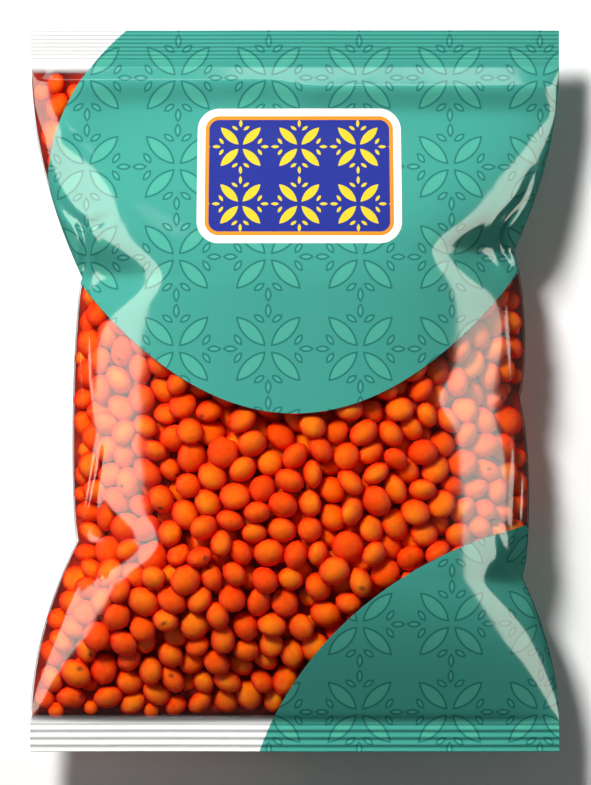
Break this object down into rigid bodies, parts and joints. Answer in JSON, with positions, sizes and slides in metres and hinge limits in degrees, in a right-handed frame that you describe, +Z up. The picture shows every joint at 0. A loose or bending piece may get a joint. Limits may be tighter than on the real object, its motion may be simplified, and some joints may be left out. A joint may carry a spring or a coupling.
{
  "type": "bag of lentils",
  "caption": "Sealed pillow bag of clear film with teal printed panels, filled with whole red lentils and lying on its back.",
  "frame": {"origin": "middle of the flat patch on the underside that the bag rests on", "axes": "+Y along the bag towards its top seal, +X to the right seen from the printed front, +Z up out of the printed front"},
  "size_m": [0.11, 0.15, 0.0342],
  "materials": {
    "lentil_bag": "clear glossy film over orange-red lentils, printed with teal panels"
  },
  "bodies": {
    "root": {"lentil_bag": "lentil_bag"}
  },
  "joints": []
}
